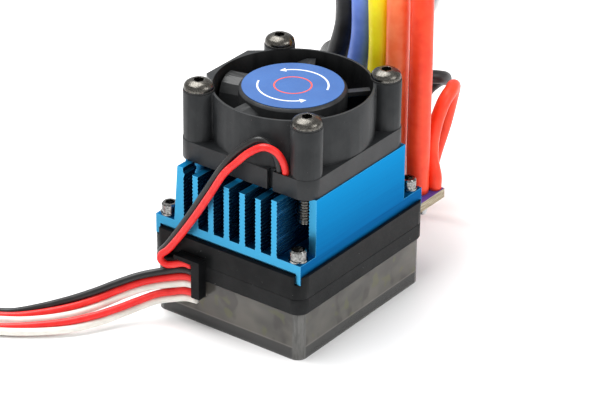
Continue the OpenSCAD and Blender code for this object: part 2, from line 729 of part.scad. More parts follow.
module fan_lead_red() { color([0.9, 0.12, 0.1]) cord(fan_red_route, fan_lead_d, [0, 1, 0]); }
module fan_lead_black() { color([0.05, 0.05, 0.05]) cord(fan_black_route, fan_lead_d, [0, 1, 0]); }

receiver_route = [
    [-4.9, -16.85, 8.25, 0], [-7, -17, 8.15, 0], [-9.3, -17.25, 7.35, 0], [-11.4, -18.2, 6.75, 0],
    [-13.5, -19.9, 6.15, -3], [-15.5, -22.1, 5.3, -8], [-17.8, -24.7, 4.1, -20], [-20.6, -27.4, 2.9, -38],
    [-24.2, -30.2, 1.8, -62], [-28.6, -32.8, 0.85, -86], [-34, -35.2, 0.62, -90], [-41, -37.6, 0.62, -90],
    [-48, -39.8, 0.62, -90], [-54.5, -41.4, 0.62, -90], [-60.5, -41.4, 0.62, -90], [-66, -39.2, 0.62, -90],
    [-70.4, -34.4, 0.62, -90], [-72.4, -27.6, 0.62, -90], [-73.4, -20, 0.62, -90],
    [-75.2, -12.4, 0.62, -90], [-78.5, -5.4, 0.62, -90]
];
switch_route = [
    [-4.9, -16.85, 5.25, 0], [-7, -17, 5.05, 0], [-9.3, -17.25, 4.2, 0], [-11.3, -18.4, 3.65, 0],
    [-13, -20.7, 3, -2], [-14.6, -23.6, 2.4, -6], [-16.5, -27, 1.9, -18], [-19, -30.4, 1.5, -38],
    [-22.6, -33.6, 1.15, -62], [-27, -36.6, 0.85, -86], [-32.5, -39.5, 0.62, -90], [-39, -42.2, 0.62, -90],
    [-46, -44.8, 0.62, -90], [-52.5, -46.8, 0.62, -90], [-57.6, -47.9, 0.62, -90], [-61, -48, 0.62, -90],
    [-64, -48, 0.62, -90]
];

module receiver_lead() { color([0.8, 0.1, 0.1]) ribbon(receiver_route, 3); }
module switch_lead() { color([0.9, 0.9, 0.88]) ribbon(switch_route, 2); }

// Shapes built along +Y continue a flat lead from its last point
module at_ribbon_end(route) {
    last = route[len(route) - 1];
    step = last - route[len(route) - 2];
    translate([last[0], last[1], 0]) rotate([0, 0, atan2(step[1], step[0]) - 90]) children();
}

module receiver_plug() {
    color([0.08, 0.08, 0.08]) at_ribbon_end(receiver_route) difference() {
        block([-3.9, 3.9], [0, 14], [0, 2.6]);
        for (x = [-2.54, 0, 2.54]) block([x - 0.5, x + 0.5], [1, 15], [0.8, 1.8]);
    }
}

module receiver_contacts() {
    color([0.85, 0.75, 0.45]) at_ribbon_end(receiver_route)
        for (x = [-2.54, 0, 2.54]) difference() {
            block([x - 0.5, x + 0.5], [1, 13], [0.8, 1.8]);
            block([x - 0.34, x + 0.34], [4, 14], [0.96, 1.64]);
        }
}

module switch_housing() {
    color([0.1, 0.1, 0.1]) at_ribbon_end(switch_route) difference() {
        union() {
            block([-3.2, 3.2], [0, 13], [0, 5.6]);
            translate([0, 6.5, 0]) slab(6.4, 21, 3, 4.4, 5.6);
        }
        block([-2.4, 2.4], [0.8, 12.2], [0.8, 4.6]);
        block([-1.3, 1.3], [3.2, slider_end + switch_travel + 0.4], [4, 6]);
        block([-1.3, 1.3], [-1, 1], [-1, 1.4]);
        for (y = [-2, 15]) translate([0, y, 3]) cylinder(d = 2, h = 4, $fn = 32);
    }
}

module switch_slider() {
    color([0.85, 0.85, 0.85]) at_ribbon_end(switch_route) {
        block([-1.1, 1.1], [3.5, slider_end], [2.6, 7]);
        block([-2, 2], [2.6, 8.3], [2.6, 4.3]);
    }
}

module switch_contacts() {
    color([0.85, 0.8, 0.7]) at_ribbon_end(switch_route)
        for (y = [2.6, 6.5, 10.4]) block([-1.6, 1.6], [y - 0.6, y + 0.6], [0.8, 2.3]);
}

lower_case();
collar();
upper_frame();
cable_hood();
heatsink();
thermal_pad();
heatsink_screws();
fan_housing();
fan_screws();
fan_screw_washers();
fan_rotor();
fan_label();
magnet_ring();
rotor_shaft();
shaft_clip();
sleeve_bearing();
stator_core();
stator_coils();
fan_board();
power_board();
control_board();
mosfets();
board_headers();
microcontroller();
driver_chips();
inductor();
board_capacitors();
solder_joints();
motor_lead_a();
motor_lead_b();
motor_lead_c();
bullet_sockets();
socket_sleeves();
battery_lead_pos();
battery_lead_neg();
battery_plug();
battery_plug_blades();
battery_plug_sleeves();
capacitor_lead_pos();
capacitor_lead_neg();
capacitor_can();
capacitor_bung();
capacitor_sleeves();
fan_lead_red();
fan_lead_black();
receiver_lead();
receiver_plug();
receiver_contacts();
switch_lead();
switch_housing();
switch_slider();
switch_contacts();
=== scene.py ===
# Electronic speed controller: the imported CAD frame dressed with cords, details and materials.
# Metres, in the CAD's own frame. Routes, radii and the sizes given to the material functions are
# in mm, and are turned into metres by MM.
import math

import bmesh
import bpy
from mathutils import Matrix, Vector


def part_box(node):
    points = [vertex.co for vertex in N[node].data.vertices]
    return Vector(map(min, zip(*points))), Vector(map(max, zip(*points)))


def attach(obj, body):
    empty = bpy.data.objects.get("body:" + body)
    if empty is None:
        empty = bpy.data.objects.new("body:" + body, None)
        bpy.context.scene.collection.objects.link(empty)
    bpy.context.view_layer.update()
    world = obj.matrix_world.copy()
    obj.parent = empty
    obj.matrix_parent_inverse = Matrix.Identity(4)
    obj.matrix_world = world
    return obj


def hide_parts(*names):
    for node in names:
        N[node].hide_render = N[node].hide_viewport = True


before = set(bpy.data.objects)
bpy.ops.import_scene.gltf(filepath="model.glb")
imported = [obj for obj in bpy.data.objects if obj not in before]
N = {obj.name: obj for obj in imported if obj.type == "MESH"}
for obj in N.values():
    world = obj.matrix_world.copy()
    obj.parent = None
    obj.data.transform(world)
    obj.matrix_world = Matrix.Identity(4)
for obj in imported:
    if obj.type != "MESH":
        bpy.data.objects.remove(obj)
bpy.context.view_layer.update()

MM = 0.001
ROOT = "controller"
ROTOR = "fan_rotor_body"
LEAD_TURN = math.radians(36.4)  # the row of power leads is turned by this about Z

# ---------- camera ----------

CAM_AT = Vector((235.05, -316.70, 229.07)) * MM
CAM_BACK = Vector((0.52178, -0.70877, 0.47474))
CAM_RIGHT = Vector((0.80251, 0.59657, 0.00863))
CAM_UP = Vector((-0.28934, 0.37649, 0.88008))
CAM_LENS = 175.65

camera_data = bpy.data.cameras.new("camera")
camera_data.lens = CAM_LENS
camera_data.sensor_width = 36
camera_data.clip_start = 0.01
camera_data.clip_end = 20
camera = bpy.data.objects.new("camera", camera_data)
bpy.context.scene.collection.objects.link(camera)
camera_axes = Matrix((CAM_RIGHT, CAM_UP, CAM_BACK)).transposed()
camera.matrix_world = Matrix.Translation(CAM_AT) @ camera_axes.to_4x4()
bpy.context.scene.camera = camera

# ---------- materials ----------


class Nodes:
    """A material's node tree with short calls for the nodes used here."""

    def __init__(self, name):
        self.mat = bpy.data.materials.new(name)
        self.mat.use_nodes = True
        self.tree = self.mat.node_tree
        self.shader = self.tree.nodes["Principled BSDF"]
        self.coords = self.tree.nodes.new("ShaderNodeTexCoord").outputs["Object"]

    def link(self, source, socket):
        self.tree.links.new(source, socket)

    def place(self, offset=(0, 0, 0), stretch=(1, 1, 1)):
        """Object coordinates times stretch, or with an offset taken off and divided by stretch."""
        node = self.tree.nodes.new("ShaderNodeMapping")
        node.vector_type = "TEXTURE" if offset != (0, 0, 0) else "POINT"
        node.inputs["Location"].default_value = offset
        node.inputs["Scale"].default_value = stretch
        self.link(self.coords, node.inputs["Vector"])
        return node.outputs["Vector"]

    def noise(self, size, vector=None, detail=4, rough=0.6):
        """Noise whose lumps are about size metres across."""
        node = self.tree.nodes.new("ShaderNodeTexNoise")
        node.inputs["Scale"].default_value = 1 / size
        node.inputs["Detail"].default_value = detail
        node.inputs["Roughness"].default_value = rough
        self.link(vector or self.coords, node.inputs["Vector"])
        return node.outputs["Fac"]

    def cells(self, size):
        """Distance to the nearest of scattered points, where 1 is their spacing of size metres."""
        node = self.tree.nodes.new("ShaderNodeTexVoronoi")
        node.inputs["Scale"].default_value = 1 / size
        self.link(self.coords, node.inputs["Vector"])
        return node.outputs["Distance"]

    def math(self, kind, a, b=0.0):
        node = self.tree.nodes.new("ShaderNodeMath")
        node.operation = kind
        for socket, value in zip(node.inputs, (a, b)):
            if isinstance(value, (int, float)):
                socket.default_value = value
            else:
                self.link(value, socket)
        return node.outputs[0]

    def span(self, value, low, high, to_low=0.0, to_high=1.0):
        """value from low to high becomes to_low to to_high, and stays there beyond them."""
        node = self.tree.nodes.new("ShaderNodeMapRange")
        limits = {"From Min": low, "From Max": high, "To Min": to_low, "To Max": to_high}
        for key, number in limits.items():
            node.inputs[key].default_value = number
        self.link(value, node.inputs["Value"])
        return node.outputs["Result"]

    def mix(self, share, a, b):
        """Colour a where share is 0 and b where it is 1."""
        node = self.tree.nodes.new("ShaderNodeMix")
        node.data_type = "RGBA"
        if isinstance(share, (int, float)):
            node.inputs["Factor"].default_value = share
        else:
            self.link(share, node.inputs["Factor"])
        for key, value in ((6, a), (7, b)):
            if isinstance(value, tuple):
                node.inputs[key].default_value = (*value, 1)
            else:
                self.link(value, node.inputs[key])
        return node.outputs[2]

    def axes(self, vector=None):
        node = self.tree.nodes.new("ShaderNodeSeparateXYZ")
        self.link(vector or self.coords, node.inputs[0])
        return node.outputs

    def normal_axes(self):
        return self.axes(self.coords.node.outputs["Normal"])

    def bump(self, height, depth, over=None):
        """A normal with height as relief, on top of the relief of over."""
        node = self.tree.nodes.new("ShaderNodeBump")
        node.inputs["Strength"].default_value = 1.0
        node.inputs["Distance"].default_value = depth
        self.link(height, node.inputs["Height"])
        if over is not None:
            self.link(over, node.inputs["Normal"])
        return node.outputs["Normal"]

    def edges(self, radius):
        """1 along convex and concave edges, 0 on flat faces."""
        bevel = self.tree.nodes.new("ShaderNodeBevel")
        bevel.samples = 4
        bevel.inputs["Radius"].default_value = radius
        geometry = self.tree.nodes.new("ShaderNodeNewGeometry")
        dot = self.tree.nodes.new("ShaderNodeVectorMath")
        dot.operation = "DOT_PRODUCT"
        self.link(bevel.outputs[0], dot.inputs[0])
        self.link(geometry.outputs["True Normal"], dot.inputs[1])
        return self.span(dot.outputs["Value"], 0.995, 0.85)

    def set(self, **values):
        """Sets the shader's sockets, by name with _ for spaces, to numbers, colours or links."""
        for key, value in values.items():
            socket = self.shader.inputs[key.replace("_", " ")]
            if isinstance(value, tuple):
                socket.default_value = (*value, 1) if socket.type == "RGBA" else value
            elif isinstance(value, (int, float)):
                socket.default_value = value
            else:
                self.link(value, socket)


def plain(name, dark, light, patch, grain, depth, rough, metal=0.0, stretch=(1, 1, 1), **more):
    """A moulded, drawn or cast surface: two close colours in patches, a fine grain in relief."""
    n = Nodes(name)
    where = n.place(stretch=stretch) if stretch != (1, 1, 1) else None
    patches = n.noise(patch * MM, where)
    fine = n.noise(grain * MM, where, detail=3)
    n.set(
        Base_Color=n.mix(n.span(patches, 0.35, 0.65), dark, light),
        Roughness=n.span(fine, 0.3, 0.7, *rough),
        Metallic=metal,
        Normal=n.bump(fine, depth * MM),
        **more,
    )
    return n.mat


def silicone(name, dark, light, rough=(0.34, 0.5)):
    """A drawn silicone or PVC jacket: faint long lumps, a fine powdery grain."""
    n = Nodes(name)
    lumps = n.noise(2.5 * MM, detail=2)
    dust = n.noise(0.12 * MM, detail=2)
    n.set(
        Base_Color=n.mix(n.span(lumps, 0.35, 0.65), dark, light),
        Roughness=n.span(dust, 0.3, 0.7, *rough),
        Normal=n.bump(dust, 0.006 * MM, over=n.bump(lumps, 0.05 * MM)),
        Subsurface_Weight=0.08,
        Subsurface_Radius=(0.0012, 0.0006, 0.0004),
        Specular_IOR_Level=0.35,
    )
    return n.mat


def anodised():
    """Blue anodised extrusion: drawn streaks along Y, paler saw-cut ends, paler edges (rubbed wear
    and a painted highlight), painted light towards the top, painted shade low down and between the
    fins.
    """
    n = Nodes("anodised_aluminium")
    streaks = n.noise(0.5 * MM, n.place(stretch=(1, 0.02, 1)), detail=3)
    grain = n.noise(0.09 * MM, detail=2)
    x, _, z = n.axes()
    nx, ny, _ = n.normal_axes()
    cut = n.span(n.math("ABSOLUTE", ny), 0.8, 0.95)
    # Painted light: the body is paler towards the fins' tops and darker towards their foot.
    height = n.span(z, 16.3 * MM, 26 * MM)
    body = n.mix(height, (0.002, 0.098, 0.27), (0.011, 0.215, 0.46))
    # Painted shade: below 16 mm, under the fins' foot, the base is darker.
    body = n.mix(n.span(z, 16 * MM, 16.3 * MM, 0.8, 0), body, (0.001, 0.058, 0.19))
    body = n.mix(n.span(streaks, 0.3, 0.75, 0.0, 0.3), body, (0.012, 0.25, 0.53))
    # Painted shade: faces turned along X inside the fin gaps are made dark navy, as the shade
    # between the fins.
    fin_side = n.span(n.math("ABSOLUTE", nx), 0.5, 0.8)
    fin_gap_shade = n.math("MULTIPLY", fin_side, n.span(x, 11.2 * MM, 11.6 * MM, 0.8, 0))
    fin_gap_shade = n.math("MULTIPLY", fin_gap_shade, n.span(x, -13 * MM, -12 * MM))
    body = n.mix(fin_gap_shade, body, (0.001, 0.016, 0.06))
    body = n.mix(n.math("MULTIPLY", cut, 0.75), body, (0.065, 0.36, 0.58))
    # Paler edges: partly rubbed wear, partly a painted edge highlight.
    wear_and_highlight = n.math("MULTIPLY", n.edges(0.14 * MM), n.span(grain, 0.3, 0.6, 0.4, 1.0))
    n.set(
        Base_Color=n.mix(wear_and_highlight, body, (0.14, 0.50, 0.80)),
        Metallic=0.9,
        Roughness=n.span(streaks, 0.2, 0.8, 0.34, 0.46),
        Normal=n.bump(grain, 0.004 * MM, over=n.bump(streaks, 0.008 * MM)),
        Specular_Tint=(0.1, 0.6, 1.0),
    )
    return n.mat


def smoked():
    """Tinted clear plastic: thick pale corners, a dark floor band, walls with parts showing,
    painted shade towards the top and a painted highlight line above the floor band.
    """
    n = Nodes("smoked_polycarbonate")
    x, y, z = n.axes()
    _, ny, _ = n.normal_axes()
    end_face = n.span(n.math("ABSOLUTE", ny), 0.6, 0.8)
    inner_x = n.span(n.math("ABSOLUTE", x), 12.2 * MM, 12.5 * MM, 1, 0)
    inner_y = n.span(n.math("ABSOLUTE", y), 14.2 * MM, 14.5 * MM, 1, 0)
    inside = n.math("ADD", n.math("MULTIPLY", end_face, inner_x),
                    n.math("MULTIPLY", n.math("SUBTRACT", 1.0, end_face), inner_y))
    haze = n.noise(6 * MM, n.place(stretch=(1, 1, 1.6)), detail=2, rough=0.4)
    parts = n.place(offset=(0.01, 0.02, 0), stretch=(1, 1, 1.5))
    parts = n.noise(3.4 * MM, parts, detail=2, rough=0.4)
    leaves = n.noise(2.2 * MM, n.place(offset=(0.03, 0, 0.01)), detail=1)
    scuffs = n.noise(1.2 * MM, n.place(stretch=(3, 3, 0.4)), detail=3)
    wall = n.mix(n.span(haze, 0.35, 0.65), (0.074, 0.070, 0.062), (0.132, 0.123, 0.107))
    wall = n.mix(n.span(parts, 0.57, 0.66, 0, 0.55), wall, (0.034, 0.030, 0.027))
    wall = n.mix(n.span(leaves, 0.60, 0.70, 0, 0.5), wall, (0.12, 0.125, 0.05))
    # Painted shade: the wall darkens towards the top, under the collar.
    wall = n.mix(n.span(z, 5.5 * MM, 8 * MM, 0, 0.3), wall, (0.045, 0.042, 0.040))
    corner = n.mix(n.span(scuffs, 0.4, 0.6), (0.088, 0.087, 0.082), (0.140, 0.138, 0.130))
    floor_band = n.mix(n.span(haze, 0.3, 0.7), (0.040, 0.040, 0.039), (0.052, 0.052, 0.050))
    # Painted highlight: a thin pale line along the top of the floor band.
    lip_highlight = n.math("MULTIPLY", n.span(z, 1.95 * MM, 2.05 * MM), n.span(z, 2.15 * MM, 2.3 * MM, 1, 0))
    side = n.mix(n.span(z, 1.9 * MM, 2.1 * MM), floor_band, wall)
    side = n.mix(n.math("MULTIPLY", lip_highlight, 0.45), side, (0.22, 0.21, 0.19))
    side = n.mix(inside, corner, side)
    rim = n.span(z, 0.15 * MM, 0.45 * MM, 0.35, 0)
    n.set(
        Base_Color=n.mix(rim, side, (0.17, 0.17, 0.17)),
        Roughness=n.span(scuffs, 0.3, 0.7, 0.14, 0.24),
        Transmission_Weight=0.15,
        IOR=1.5,
        Specular_IOR_Level=0.4,
        Normal=n.bump(haze, 0.02 * MM),
    )
    return n.mat


def scuffed(name, dark, light, grain, rough, edge_wear_highlight, depth=0.01):
    """Plated or blackened metal, paler along its edges: partly rubbed wear, partly a painted edge
    highlight.
    """
    n = Nodes(name)
    spots = n.noise(grain * MM, detail=5, rough=0.7)
    broad = n.noise(8 * grain * MM, detail=2)
    tone = n.mix(n.span(spots, 0.3, 0.7), dark, light)
    # Paler edges: partly rubbed wear, partly a painted edge highlight.
    wear_and_highlight = n.math("MULTIPLY", n.edges(0.1 * MM), n.span(spots, 0.35, 0.6))
    n.set(
        Base_Color=n.mix(wear_and_highlight, tone, edge_wear_highlight),
        Metallic=1.0,
        Roughness=n.span(broad, 0.3, 0.7, *rough),
        Normal=n.bump(spots, depth * MM),
    )
    return n.mat


def board_mask():
    """Solder mask on fibreglass: the mask ends at the cut edges, which show the bare laminate."""
    n = Nodes("circuit_board")
    _, _, nz = n.normal_axes()
    face = n.span(n.math("ABSOLUTE", nz), 0.5, 0.8)
    weave = n.noise(0.35 * MM, n.place(stretch=(1, 1, 4)), detail=4)
    ply = n.noise(0.6 * MM, n.place(stretch=(0.3, 0.3, 6)), detail=3)
    mask = n.mix(n.span(weave, 0.3, 0.7), (0.045, 0.035, 0.22), (0.09, 0.07, 0.34))
    laminate = n.mix(n.span(ply, 0.35, 0.65), (0.20, 0.15, 0.09), (0.48, 0.42, 0.30))
    n.set(
        Base_Color=n.mix(face, laminate, mask),
        Roughness=n.span(face, 0, 1, 0.75, 0.3),
        Normal=n.bump(ply, 0.03 * MM),
    )
    return n.mat


def speckled(name, dark, light, patch, grain, depth, rough, gloss, amount=0.06, bore=None):
    """Moulded plastic with a fine texture and sparse pale dust specks.

    Inside a bore, which is given as (x, y, radius), it is painted near black as painted shade.
    """
    n = Nodes(name)
    patches = n.noise(patch * MM, detail=3)
    fine = n.noise(grain * MM, detail=3)
    dots = n.cells(0.55 * MM)
    sparse = n.span(n.noise(1.3 * MM, detail=1), 0.60, 0.66)
    dust = n.math("MULTIPLY", n.span(dots, amount * 1.4, amount), sparse)
    tone = n.mix(n.span(patches, 0.35, 0.65), dark, light)
    if bore:
        bore_x, bore_y, bore_radius = (size * MM for size in bore)
        x, y, _ = n.axes()
        dx = n.math("SUBTRACT", x, bore_x)
        dy = n.math("SUBTRACT", y, bore_y)
        squares = n.math("ADD", n.math("MULTIPLY", dx, dx), n.math("MULTIPLY", dy, dy))
        # Painted shade: inside the bore radius the tone goes near black.
        inside = n.span(n.math("SQRT", squares), bore_radius, bore_radius + 0.05 * MM, 1, 0)
        tone = n.mix(inside, tone, (0.003, 0.0032, 0.0035))
        dust = n.math("MULTIPLY", dust, n.math("SUBTRACT", 1.0, inside))
    n.set(
        Base_Color=n.mix(dust, tone, (0.35, 0.35, 0.34)),
        Roughness=n.span(fine, 0.3, 0.7, *rough),
        Normal=n.bump(fine, depth * MM),
        Specular_IOR_Level=gloss,
    )
    return n.mat


def can_sleeve(turn):
    """Dark blue shrink sleeve, a pale dashed stripe on top, and bare scored aluminium ends."""
    n = Nodes("can_sleeve")
    c, s = math.cos(turn), math.sin(turn)
    x, y, _ = n.axes()
    nx, ny, nz = n.normal_axes()
    along = n.math("ADD", n.math("MULTIPLY", x, c), n.math("MULTIPLY", y, s))
    facing = n.math("ABSOLUTE", n.math("ADD", n.math("MULTIPLY", nx, c), n.math("MULTIPLY", ny, s)))
    end = n.span(facing, 0.8, 0.95)
    wrinkles = n.noise(0.8 * MM, detail=3)
    grain = n.noise(0.1 * MM, detail=2)
    sleeve = n.mix(n.span(wrinkles, 0.35, 0.65), (0.012, 0.02, 0.06), (0.022, 0.034, 0.095))
    stripe = n.span(nz, 0.90, 0.91)
    dash = n.math("FRACT", n.math("MULTIPLY", along, 1 / (2.8 * MM)))
    dash = n.math("MULTIPLY", n.span(dash, 0.45, 0.47, 1, 0), n.span(nz, 0.985, 0.99))
    stripe = n.math("MULTIPLY", stripe, n.math("SUBTRACT", 1.0, dash))
    sleeve = n.mix(stripe, sleeve, (0.42, 0.44, 0.48))
    bare = n.mix(n.span(grain, 0.3, 0.7), (0.45, 0.45, 0.46), (0.62, 0.62, 0.63))
    n.set(
        Base_Color=n.mix(end, sleeve, bare),
        Metallic=end,
        Roughness=n.span(wrinkles, 0.3, 0.7, 0.2, 0.36),
        Normal=n.bump(grain, 0.004 * MM, over=n.bump(wrinkles, 0.03 * MM)),
    )
    return n.mat


M = {
    "smoked": smoked(),
    "collar": speckled(
        "collar_plastic", (0.005, 0.0055, 0.006), (0.011, 0.0115, 0.012), 3, 0.16, 0.014,
        (0.45, 0.62), 0.15, amount=0.08,
    ),
    "frame": speckled(
        "frame_plastic", (0.004, 0.0045, 0.005), (0.009, 0.0095, 0.010), 3, 0.3, 0.006,
        (0.32, 0.46), 0.10,
    ),
    "anodised": anodised(),
    "fan": speckled(
        "fan_plastic", (0.014, 0.0155, 0.017), (0.024, 0.0255, 0.027), 4, 0.11, 0.006,
        (0.38, 0.52), 0.28, amount=0.04, bore=(1, -0.85, 12.04),
    ),
    "rotor": plain(
        "rotor_plastic", (0.016, 0.017, 0.018), (0.028, 0.029, 0.03), 3, 0.12, 0.004, (0.30, 0.42),
        Specular_IOR_Level=0.3,
    ),
    "gunmetal": scuffed(
        "gunmetal_steel", (0.020, 0.018, 0.015), (0.17, 0.162, 0.145), 0.2, (0.20, 0.36),
        (0.6, 0.58, 0.54),
    ),
    "black_steel": scuffed(
        "black_steel", (0.02, 0.02, 0.02), (0.42, 0.42, 0.41), 0.3, (0.12, 0.26), (0.9, 0.9, 0.87),
    ),
    "thread_steel": scuffed(
        "thread_steel", (0.008, 0.008, 0.008), (0.05, 0.05, 0.048), 0.2, (0.25, 0.4),
        (0.30, 0.30, 0.29),
    ),
    "steel": scuffed(
        "bright_steel", (0.5, 0.5, 0.5), (0.65, 0.65, 0.65), 0.3, (0.15, 0.25), (0.8, 0.8, 0.8),
    ),
    "washer": plain(
        "fibre_washer", (0.008, 0.008, 0.008), (0.02, 0.02, 0.02), 0.8, 0.1, 0.01, (0.6, 0.8),
    ),
    "board": board_mask(),
    "chip": plain(
        "chip_black", (0.014, 0.014, 0.015), (0.03, 0.03, 0.03), 1, 0.1, 0.01, (0.5, 0.7),
    ),
    "gold": scuffed(
        "gold_plate", (0.75, 0.50, 0.17), (0.88, 0.64, 0.27), 0.4, (0.16, 0.28),
        (0.95, 0.78, 0.45), depth=0.004,
    ),
    "tin": scuffed(
        "solder", (0.42, 0.42, 0.43), (0.66, 0.66, 0.67), 0.35, (0.2, 0.42), (0.8, 0.8, 0.8),
    ),
    "copper": plain(
        "enamelled_copper", (0.40, 0.14, 0.05), (0.62, 0.26, 0.10), 0.5, 0.12, 0.02, (0.25, 0.4),
        metal=0.9,
    ),
    "lamination": plain(
        "stator_steel", (0.28, 0.28, 0.29), (0.42, 0.42, 0.43), 1, 0.2, 0.02, (0.35, 0.5),
        metal=0.9, stretch=(0.2, 0.2, 5),
    ),
    "bronze": plain(
        "sintered_bronze", (0.34, 0.20, 0.08), (0.5, 0.32, 0.14), 0.3, 0.08, 0.01, (0.4, 0.6),
        metal=0.9,
    ),
    "magnet": plain(
        "magnet_rubber", (0.05, 0.05, 0.05), (0.09, 0.085, 0.08), 1, 0.1, 0.01, (0.6, 0.8),
    ),
    "nylon": plain(
        "natural_nylon", (0.62, 0.60, 0.53), (0.74, 0.72, 0.66), 1, 0.1, 0.006, (0.35, 0.5),
    ),
    "ferrite": plain(
        "ferrite", (0.05, 0.05, 0.055), (0.10, 0.10, 0.105), 1, 0.12, 0.02, (0.55, 0.8),
    ),
    "tantalum": plain(
        "tantalum_yellow", (0.50, 0.30, 0.05), (0.65, 0.42, 0.09), 1, 0.1, 0.01, (0.4, 0.6),
    ),
    "pad": plain("thermal_pad", (0.50, 0.52, 0.55), (0.62, 0.63, 0.66), 2, 0.15, 0.02, (0.7, 0.9)),
    "fan_board": plain(
        "fan_board_green", (0.01, 0.07, 0.03), (0.02, 0.12, 0.05), 1, 0.15, 0.01, (0.35, 0.5),
    ),
    "shrink": plain(
        "shrink_tube", (0.012, 0.012, 0.012), (0.028, 0.028, 0.028), 2, 0.25, 0.03, (0.35, 0.55),
    ),
    "rubber": plain(
        "bung_rubber", (0.015, 0.015, 0.015), (0.03, 0.03, 0.03), 1, 0.1, 0.01, (0.6, 0.8),
    ),
    "plug_red": plain(
        "plug_nylon", (0.42, 0.018, 0.012), (0.56, 0.03, 0.02), 3, 0.2, 0.012, (0.34, 0.5),
    ),
    "plug_black": plain(
        "plug_plastic", (0.014, 0.014, 0.014), (0.026, 0.026, 0.026), 3, 0.2, 0.01, (0.35, 0.5),
    ),
    "slider": plain(
        "slider_plastic", (0.42, 0.42, 0.41), (0.54, 0.54, 0.53), 1, 0.1, 0.006, (0.35, 0.5),
    ),
    "can": can_sleeve(LEAD_TURN),
    "power_black": silicone("silicone_black", (0.010, 0.010, 0.011), (0.020, 0.020, 0.022)),
    "power_blue": silicone("silicone_blue", (0.11, 0.20, 0.62), (0.15, 0.25, 0.70)),
    "power_yellow": silicone("silicone_yellow", (0.93, 0.74, 0.006), (0.98, 0.86, 0.012)),
    "power_orange": silicone("silicone_orange", (0.94, 0.16, 0.050), (0.98, 0.22, 0.08)),
    "power_red": silicone("silicone_red", (0.86, 0.040, 0.010), (0.94, 0.065, 0.018)),
    "lead_red": silicone("pvc_red", (0.72, 0.012, 0.012), (0.82, 0.03, 0.025), (0.28, 0.4)),
    "lead_black": silicone("pvc_black", (0.010, 0.010, 0.010), (0.02, 0.02, 0.02), (0.28, 0.4)),
    "lead_white": silicone("pvc_white", (0.68, 0.66, 0.60), (0.80, 0.78, 0.72), (0.28, 0.4)),
}

# ---------- mesh helpers ----------

SPLINE_STEPS = 24  # points between two points of a route, before the resampling
WELD = 2e-6  # metres
SHARP = math.radians(30)  # edges sharper than this are rounded


def new_object(name, mesh, *materials, smooth=True):
    for key in materials:
        mesh.materials.append(M[key])
    if smooth:
        for polygon in mesh.polygons:
            polygon.use_smooth = True
    obj = bpy.data.objects.new(name, mesh)
    bpy.context.scene.collection.objects.link(obj)
    return obj


def mesh_from(name, vertices, faces):
    mesh = bpy.data.meshes.new(name)
    mesh.from_pydata([tuple(v) for v in vertices], [], faces)
    mesh.update()
    return mesh


def spline(points, step):
    """A smooth curve through points, resampled at even steps.

    The curve is centripetal, so it never loops between its points.
    """
    spots = [Vector(p) for p in points]
    spots = [2 * spots[0] - spots[1]] + spots + [2 * spots[-1] - spots[-2]]
    fine = []
    for a, b, c, d in zip(spots, spots[1:], spots[2:], spots[3:]):
        t0 = 0.0
        t1 = t0 + (b - a).length ** 0.5
        t2 = t1 + (c - b).length ** 0.5
        t3 = t2 + (d - c).length ** 0.5
        for k in range(SPLINE_STEPS):
            t = t1 + (t2 - t1) * k / SPLINE_STEPS
            ab = a.lerp(b, (t - t0) / (t1 - t0))
            bc = b.lerp(c, (t - t1) / (t2 - t1))
            cd = c.lerp(d, (t - t2) / (t3 - t2))
            abc = ab.lerp(bc, (t - t0) / (t2 - t0))
            bcd = bc.lerp(cd, (t - t1) / (t3 - t1))
            fine.append(abc.lerp(bcd, (t - t1) / (t2 - t1)))
    fine.append(spots[-2].copy())
    return resampled(fine, step)


def resampled(fine, step):
    """The path fine, with points about step apart along its length."""
    run = [0.0]
    for a, b in zip(fine, fine[1:]):
        run.append(run[-1] + (b - a).length)
    count = max(2, round(run[-1] / step))
    out, k = [], 0
    for i in range(count + 1):
        want = run[-1] * i / count
        while k < len(run) - 2 and run[k + 1] < want:
            k += 1
        share = (want - run[k]) / max(run[k + 1] - run[k], 1e-12)
        out.append(fine[k].lerp(fine[k + 1], min(1.0, share)))
    return out


def tangents(path):
    last = len(path) - 1
    return [(path[min(i + 1, last)] - path[max(i - 1, 0)]).normalized() for i in range(len(path))]


def carried(path, side):
    """Two axes across the path at each point, carried along without twist."""
    out = []
    for t in tangents(path):
        side = (side - t * side.dot(t)).normalized()
        out.append((side, t.cross(side)))
    return out


def tube_data(path, axes, radius, sides=20, shift=(0.0, 0.0)):
    """Vertices and faces of a round tube beside the path by shift along its two axes."""
    vertices, faces = [], []
    for p, (u, v) in zip(path, axes):
        centre = p + u * shift[0] + v * shift[1]
        for k in range(sides):
            a = 2 * math.pi * k / sides
            vertices.append(centre + u * (radius * math.cos(a)) + v * (radius * math.sin(a)))
    for i in range(len(path) - 1):
        for k in range(sides):
            j = (k + 1) % sides
            faces.append((i * sides + k, i * sides + j, (i + 1) * sides + j, (i + 1) * sides + k))
    faces.append(tuple(range(sides - 1, -1, -1)))
    faces.append(tuple((len(path) - 1) * sides + k for k in range(sides)))
    return vertices, faces


def joined(name, parts, *materials):
    """One mesh object from several (vertices, faces, material index) parts."""
    vertices, faces, slots = [], [], []
    for part_vertices, part_faces, slot in parts:
        base = len(vertices)
        vertices += part_vertices
        faces += [tuple(base + i for i in f) for f in part_faces]
        slots += [slot] * len(part_faces)
    mesh = mesh_from(name, vertices, faces)
    obj = new_object(name, mesh, *materials)
    for polygon, slot in zip(mesh.polygons, slots):
        polygon.material_index = slot
    return obj


def clean(mesh):
    """Welds doubled corners and turns every face outwards."""
    work = bmesh.new()
    work.from_mesh(mesh)
    bmesh.ops.remove_doubles(work, verts=work.verts, dist=1e-6)
    bmesh.ops.dissolve_degenerate(work, edges=work.edges, dist=1e-7)
    bmesh.ops.recalc_face_normals(work, faces=work.faces)
    work.to_mesh(mesh)
    work.free()


